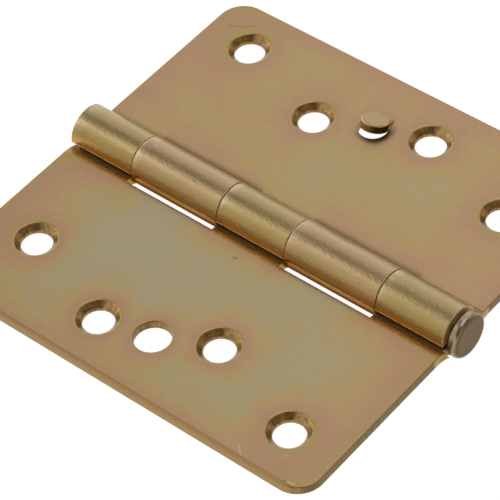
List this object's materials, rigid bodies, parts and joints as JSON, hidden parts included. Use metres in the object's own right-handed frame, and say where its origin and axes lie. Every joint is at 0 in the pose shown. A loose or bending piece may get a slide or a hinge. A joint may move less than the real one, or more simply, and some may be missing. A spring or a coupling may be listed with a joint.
{
  "type": "security stud hinge",
  "caption": "Flat plate butt hinge of rolled steel with round-cornered leaves, zigzag countersunk screw holes and a lanced locking stud.",
  "frame": {"origin": "on the pin's axis, halfway along the hinge with its pin head", "axes": "+X along the pin towards its head, +Y from the pin to the leaf with the stud, +Z out of the countersunk faces"},
  "size_m": [0.1022, 0.101, 0.011],
  "materials": {
    "plated_sheet": "yellow passivated zinc, satin",
    "plated_pin": "yellow passivated zinc, polished head"
  },
  "bodies": {
    "front": {"front_leaf": "plated_sheet", "hinge_pin": "plated_pin"},
    "stud": {"stud_leaf": "plated_sheet"}
  },
  "joints": [
    {"name": "swing", "type": "hinge", "parent": "front", "child": "stud", "pos_m": [0, 0, 0], "axis": [1, 0, 0], "range_deg": [-135, 180]}
  ]
}
